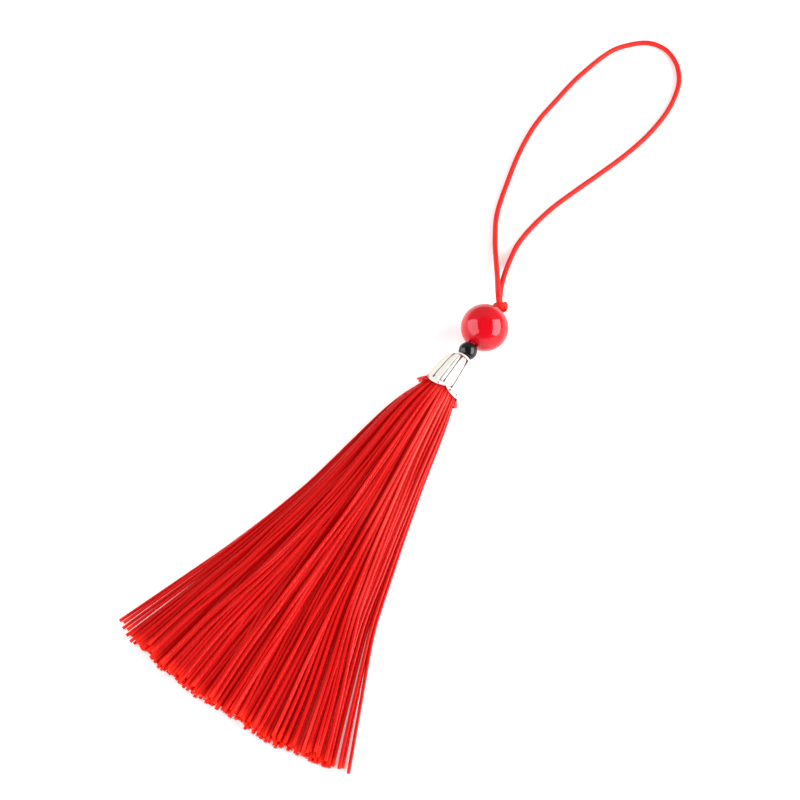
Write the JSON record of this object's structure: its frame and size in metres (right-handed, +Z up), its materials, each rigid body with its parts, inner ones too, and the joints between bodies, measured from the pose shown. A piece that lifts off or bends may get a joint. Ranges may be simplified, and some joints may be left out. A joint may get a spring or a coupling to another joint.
{
  "type": "beaded tassel",
  "caption": "Tassel pendant of fine red thread lying fanned out, with a silver petal cap, a small black bead, a larger red bead, a knot and a hanging loop of cord.",
  "frame": {"origin": "on the table, at the middle of the box round everything but the loop", "axes": "+Y along the threading axis from the cut ends to the hanging loop, +Z up from the table, +X across the fan of threads"},
  "size_m": [0.0532, 0.1887, 0.0099],
  "materials": {
    "silk_thread": "silky twisted thread",
    "silver_plate": "bright silver plate, darker in the grooves",
    "black_gloss": "polished",
    "red_gloss": "polished",
    "red_cord": "braided cord"
  },
  "bodies": {
    "tassel": {"skirt": "silk_thread", "cap": "silver_plate", "knot": "red_cord", "loop": "red_cord"},
    "black_bead": {"black_bead": "black_gloss"},
    "red_bead": {"red_bead": "red_gloss"}
  },
  "joints": [
    {"name": "red_bead_turn", "type": "hinge", "parent": "tassel", "child": "red_bead", "pos_m": [-0.00019, 0.0441, 0.00495], "axis": [0, 1, 0], "continuous": true},
    {"name": "black_bead_turn", "type": "hinge", "parent": "tassel", "child": "black_bead", "pos_m": [-0.00019, 0.03735, 0.00495], "axis": [0, 1, 0], "continuous": true}
  ]
}
